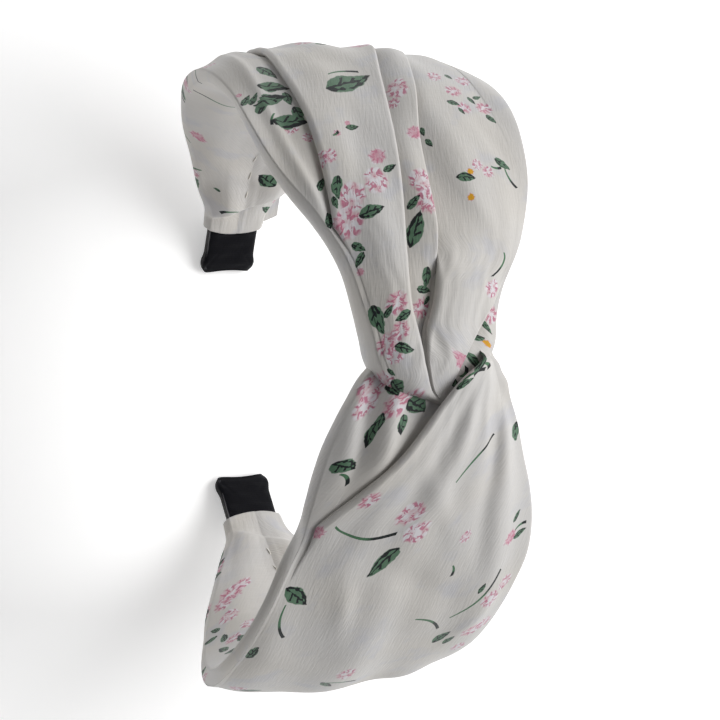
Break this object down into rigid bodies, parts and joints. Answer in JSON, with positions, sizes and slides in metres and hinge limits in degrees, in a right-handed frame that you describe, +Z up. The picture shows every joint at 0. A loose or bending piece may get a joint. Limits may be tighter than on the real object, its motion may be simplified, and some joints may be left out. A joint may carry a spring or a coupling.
{
  "type": "knotted headband",
  "caption": "Springy C-shaped hair band for adults: a satin-covered plastic hoop wrapped in two wide floral cloth strips that hook round each other in a knot on the crown.",
  "frame": {"origin": "on the floor midway between the two tips, under the middle of the band's box", "axes": "+Z up from the tips to the knot on the crown; X from ear to ear, +X the wearer's left; the wearer faces -Y"},
  "size_m": [0.1534, 0.0708, 0.1348],
  "materials": {
    "printed_cloth": "cream woven crepe de chine with a small floral print, soft satin sheen",
    "black_satin": "black satin ribbon, smooth",
    "black_grosgrain": "black ribbed ribbon, folded",
    "hoop_plastic": "moulded black, satin",
    "sewing_thread": "spun polyester thread",
    "hot_glue": "cloudy hot-melt glue"
  },
  "bodies": {
    "crown": {"hoop_crown": "hoop_plastic", "satin_crown": "black_satin", "knot_thread": "sewing_thread", "cloth_right_crown": "printed_cloth", "cloth_left_crown": "printed_cloth"},
    "right_leg": {"hoop_right_leg": "hoop_plastic", "satin_right_leg": "black_satin", "end_ribbon_right": "black_grosgrain", "cloth_right_leg": "printed_cloth", "seam_thread_right": "sewing_thread", "glue_right": "hot_glue"},
    "left_leg": {"hoop_left_leg": "hoop_plastic", "satin_left_leg": "black_satin", "end_ribbon_left": "black_grosgrain", "cloth_left_leg": "printed_cloth", "seam_thread_left": "sewing_thread", "glue_left": "hot_glue"}
  },
  "joints": [
    {"name": "right_leg_flex", "type": "hinge", "parent": "crown", "child": "right_leg", "pos_m": [-0.03893, 0, 0.11086], "axis": [0, 1, 0], "range_deg": [-8, 14], "stiffness_Nm_per_rad": 0.6},
    {"name": "left_leg_flex", "type": "hinge", "parent": "crown", "child": "left_leg", "pos_m": [0.03893, 0, 0.11086], "axis": [0, -1, 0], "range_deg": [-8, 14], "stiffness_Nm_per_rad": 0.6}
  ]
}
